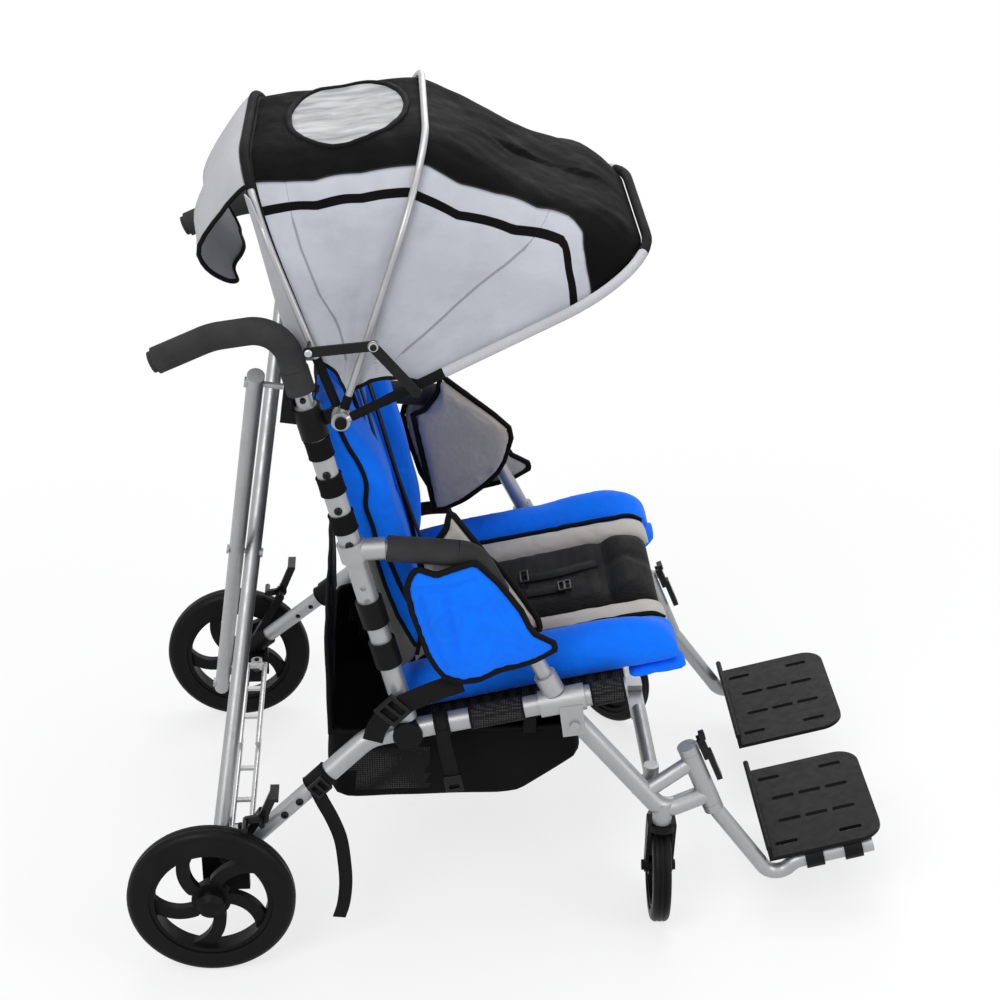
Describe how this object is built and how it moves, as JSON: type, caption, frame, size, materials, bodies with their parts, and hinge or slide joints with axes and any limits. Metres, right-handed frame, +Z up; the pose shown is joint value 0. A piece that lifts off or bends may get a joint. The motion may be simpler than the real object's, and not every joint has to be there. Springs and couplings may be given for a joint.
{
  "type": "buggy",
  "caption": "Folding special needs buggy with a padded blue seat, sun canopy on hoops, swing-away footplates, swivel casters and a mesh basket",
  "frame": {"origin": "middle of the bounding box on the floor", "axes": "+X forward, +Y to the sitter's left, +Z up"},
  "size_m": [1.0602, 0.714, 1.1366],
  "materials": {
    "silver_tube": "satin silver powder coat on aluminium tube",
    "steel_rod": "bright plated steel rod",
    "black_plastic": "moulded black nylon, fine grain",
    "black_foam": "closed cell foam, fine pores",
    "grey_wheel": "moulded grey plastic",
    "tyre_rubber": "solid rubber tyre",
    "canopy_fabric": "coated light grey and black canopy cloth",
    "black_fabric": "woven black mesh cloth",
    "blue_fabric": "bright blue knit with grey and black panels"
  },
  "bodies": {
    "right_side": {"back_tube_r": "silver_tube", "side_rail_r": "silver_tube", "rear_leg_r": "silver_tube", "wheel_bracket_r": "black_plastic", "front_leg_r": "silver_tube", "arm_tube_r": "silver_tube", "arm_foam_r": "black_foam", "tube_sleeves_r": "black_plastic", "side_pad_r": "blue_fabric", "canopy_cloth": "canopy_fabric", "bow_rear": "steel_rod", "seat_sling": "black_fabric", "seat_cushion": "blue_fabric", "back_cushion": "blue_fabric", "basket": "black_fabric"},
    "left_side": {"back_tube_l": "silver_tube", "side_rail_l": "silver_tube", "rear_leg_l": "silver_tube", "wheel_bracket_l": "black_plastic", "front_leg_l": "silver_tube", "arm_tube_l": "silver_tube", "arm_foam_l": "black_foam", "tube_sleeves_l": "black_plastic", "side_pad_l": "blue_fabric"},
    "x_front": {"x_tube_b": "silver_tube"},
    "x_rear": {"x_tube_a": "silver_tube"},
    "canopy_front": {"bow_front": "steel_rod"},
    "canopy_mid": {"bow_mid": "steel_rod"},
    "spreader_half_r": {"spreader_r": "steel_rod"},
    "cross_half_r": {"cross_tube_r": "silver_tube"},
    "footrest_r": {"hanger_r": "silver_tube"},
    "plate_r": {"footplate_r": "black_plastic"},
    "release_r": {"release_lever_r": "black_plastic"},
    "wheel_r": {"rear_rim_r": "grey_wheel", "rear_tyre_r": "tyre_rubber"},
    "brake_r": {"brake_lever_r": "black_plastic"},
    "caster_r": {"caster_fork_r": "black_plastic"},
    "caster_wheel_r": {"caster_hub_r": "grey_wheel", "caster_tyre_r": "tyre_rubber"},
    "handle_r": {"handle_tube_r": "silver_tube", "grip_r": "black_foam"},
    "button_r": {"snap_button_r": "black_plastic"},
    "stay_link_r_rear": {"stay_rear_r": "black_plastic"},
    "stay_link_r_front": {"stay_front_r": "black_plastic"},
    "spreader_half_l": {"spreader_l": "steel_rod"},
    "cross_half_l": {"cross_tube_l": "silver_tube"},
    "footrest_l": {"hanger_l": "silver_tube"},
    "plate_l": {"footplate_l": "black_plastic"},
    "release_l": {"release_lever_l": "black_plastic"},
    "wheel_l": {"rear_rim_l": "grey_wheel", "rear_tyre_l": "tyre_rubber"},
    "brake_l": {"brake_lever_l": "black_plastic"},
    "caster_l": {"caster_fork_l": "black_plastic"},
    "caster_wheel_l": {"caster_hub_l": "grey_wheel", "caster_tyre_l": "tyre_rubber"},
    "handle_l": {"handle_tube_l": "silver_tube", "grip_l": "black_foam"},
    "button_l": {"snap_button_l": "black_plastic"},
    "stay_link_l_rear": {"stay_rear_l": "black_plastic"},
    "stay_link_l_front": {"stay_front_l": "black_plastic"}
  },
  "joints": [
    {"name": "fold", "type": "slide", "parent": "right_side", "child": "left_side", "axis": [0, -1, 0], "range_m": [0, 0.16], "deforming": ["canopy_cloth", "bow_rear", "bow_mid", "bow_front", "seat_sling", "seat_cushion", "back_cushion", "basket"]},
    {"name": "x_front_turn", "type": "hinge", "parent": "right_side", "child": "x_front", "pos_m": [-0.41146, -0.212, 0.12419], "axis": [0.9881, 0, -0.1539], "range_deg": [0, 12.27]},
    {"name": "x_rear_turn", "type": "hinge", "parent": "x_front", "child": "x_rear", "pos_m": [-0.36857, 0, 0.476], "axis": [0.9881, 0, -0.1539], "range_deg": [-24.53, 0]},
    {"name": "spreader_half_r_turn", "type": "hinge", "parent": "right_side", "child": "spreader_half_r", "pos_m": [-0.37907, -0.226, 0.152], "axis": [0, 0, -1], "range_deg": [0, 49.81]},
    {"name": "spreader_half_l_turn", "type": "hinge", "parent": "left_side", "child": "spreader_half_l", "pos_m": [-0.37907, 0.226, 0.152], "axis": [0, 0, 1], "range_deg": [0, 49.81]},
    {"name": "cross_half_r_turn", "type": "hinge", "parent": "right_side", "child": "cross_half_r", "pos_m": [0.19693, -0.23, 0.233], "axis": [0, 0, -1], "range_deg": [0, 49.34]},
    {"name": "cross_half_l_turn", "type": "hinge", "parent": "left_side", "child": "cross_half_l", "pos_m": [0.19693, 0.23, 0.233], "axis": [0, 0, 1], "range_deg": [0, 49.34]},
    {"name": "hanger_r_swing", "type": "hinge", "parent": "right_side", "child": "footrest_r", "pos_m": [0.25293, -0.247, 0.26], "axis": [0.3773, 0, -0.9261], "range_deg": [0, 80.08]},
    {"name": "footplate_r_flip", "type": "hinge", "parent": "footrest_r", "child": "plate_r", "pos_m": [0.40693, -0.247, 0.086], "axis": [0.9724, 0, 0.2334], "range_deg": [0, 88]},
    {"name": "release_r_press", "type": "hinge", "parent": "footrest_r", "child": "release_r", "pos_m": [0.26389, -0.247, 0.28876], "axis": [0, -1, 0], "range_deg": [0, 15], "stiffness_Nm_per_rad": 0.05},
    {"name": "wheel_r_spin", "type": "hinge", "parent": "right_side", "child": "wheel_r", "pos_m": [-0.41507, -0.331, 0.115], "axis": [0, 1, 0], "continuous": true},
    {"name": "brake_r_press", "type": "hinge", "parent": "right_side", "child": "brake_r", "pos_m": [-0.34035, -0.308, 0.23458], "axis": [0, -1, 0], "range_deg": [0, 20]},
    {"name": "caster_r_swivel", "type": "hinge", "parent": "right_side", "child": "caster_r", "pos_m": [0.20993, -0.266, 0.192], "axis": [0, 0, 1], "continuous": true},
    {"name": "caster_r_spin", "type": "hinge", "parent": "caster_r", "child": "caster_wheel_r", "pos_m": [0.21087, -0.23902, 0.08], "axis": [0.9994, -0.0349, 0], "continuous": true},
    {"name": "handle_r_lift", "type": "slide", "parent": "right_side", "child": "handle_r", "axis": [-0.2453, 0, 0.9694], "range_m": [0, 0.06]},
    {"name": "button_r_press", "type": "slide", "parent": "handle_r", "child": "button_r", "axis": [0, 1, 0], "range_m": [0, 0.003], "stiffness_N_per_m": 300},
    {"name": "hanger_l_swing", "type": "hinge", "parent": "left_side", "child": "footrest_l", "pos_m": [0.25293, 0.247, 0.26], "axis": [-0.3773, 0, 0.9261], "range_deg": [0, 80.08]},
    {"name": "footplate_l_flip", "type": "hinge", "parent": "footrest_l", "child": "plate_l", "pos_m": [0.40693, 0.247, 0.086], "axis": [-0.9724, 0, -0.2334], "range_deg": [0, 88]},
    {"name": "release_l_press", "type": "hinge", "parent": "footrest_l", "child": "release_l", "pos_m": [0.26389, 0.247, 0.28876], "axis": [0, -1, 0], "range_deg": [0, 15], "stiffness_Nm_per_rad": 0.05},
    {"name": "wheel_l_spin", "type": "hinge", "parent": "left_side", "child": "wheel_l", "pos_m": [-0.41507, 0.331, 0.115], "axis": [0, 1, 0], "continuous": true},
    {"name": "brake_l_press", "type": "hinge", "parent": "left_side", "child": "brake_l", "pos_m": [-0.34035, 0.308, 0.23458], "axis": [0, -1, 0], "range_deg": [0, 20]},
    {"name": "caster_l_swivel", "type": "hinge", "parent": "left_side", "child": "caster_l", "pos_m": [0.20993, 0.266, 0.192], "axis": [0, 0, 1], "continuous": true},
    {"name": "caster_l_spin", "type": "hinge", "parent": "caster_l", "child": "caster_wheel_l", "pos_m": [0.19186, 0.28607, 0.08], "axis": [0.7431, 0.6691, 0], "continuous": true},
    {"name": "handle_l_lift", "type": "slide", "parent": "left_side", "child": "handle_l", "axis": [-0.2453, 0, 0.9694], "range_m": [0, 0.06]},
    {"name": "button_l_press", "type": "slide", "parent": "handle_l", "child": "button_l", "axis": [0, -1, 0], "range_m": [0, 0.003], "stiffness_N_per_m": 300},
    {"name": "canopy_fold", "type": "hinge", "parent": "right_side", "child": "canopy_front", "pos_m": [-0.21655, 0, 0.80321], "axis": [0, -1, 0], "range_deg": [0, 71], "deforming": ["canopy_cloth"]},
    {"name": "canopy_mid_turn", "type": "hinge", "parent": "right_side", "child": "canopy_mid", "pos_m": [-0.21655, 0, 0.80321], "axis": [0, -1, 0], "range_deg": [0, 30.5]},
    {"name": "stay_r_rear_turn", "type": "hinge", "parent": "right_side", "child": "stay_link_r_rear", "pos_m": [-0.25297, -0.2882, 0.90062], "axis": [0, -1, 0], "range_deg": [0, 88.27]},
    {"name": "stay_r_front_turn", "type": "hinge", "parent": "stay_link_r_rear", "child": "stay_link_r_front", "pos_m": [-0.17328, -0.2882, 0.90767], "axis": [0, -1, 0], "range_deg": [-105.46, 0]},
    {"name": "stay_l_rear_turn", "type": "hinge", "parent": "left_side", "child": "stay_link_l_rear", "pos_m": [-0.25297, 0.2882, 0.90062], "axis": [0, -1, 0], "range_deg": [0, 88.27]},
    {"name": "stay_l_front_turn", "type": "hinge", "parent": "stay_link_l_rear", "child": "stay_link_l_front", "pos_m": [-0.17328, 0.2882, 0.90767], "axis": [0, -1, 0], "range_deg": [-105.46, 0]}
  ],
  "couplings": [
    {"joint": "x_front_turn", "follows": "fold", "rad_per_m": 1.3365},
    {"joint": "x_rear_turn", "follows": "fold", "rad_per_m": -2.673},
    {"joint": "spreader_half_r_turn", "follows": "fold", "rad_per_m": 5.4278},
    {"joint": "spreader_half_l_turn", "follows": "fold", "rad_per_m": 5.4278},
    {"joint": "cross_half_r_turn", "follows": "fold", "rad_per_m": 5.3772},
    {"joint": "cross_half_l_turn", "follows": "fold", "rad_per_m": 5.3772},
    {"joint": "hanger_r_swing", "follows": "fold", "rad_per_m": 8.7266},
    {"joint": "hanger_l_swing", "follows": "fold", "rad_per_m": 8.7266},
    {"joint": "canopy_mid_turn", "follows": "canopy_fold", "ratio": 0.42253},
    {"joint": "stay_r_rear_turn", "follows": "canopy_fold", "ratio": 1.242},
    {"joint": "stay_r_front_turn", "follows": "canopy_fold", "ratio": -1.4839},
    {"joint": "stay_l_rear_turn", "follows": "canopy_fold", "ratio": 1.242},
    {"joint": "stay_l_front_turn", "follows": "canopy_fold", "ratio": -1.4839}
  ]
}
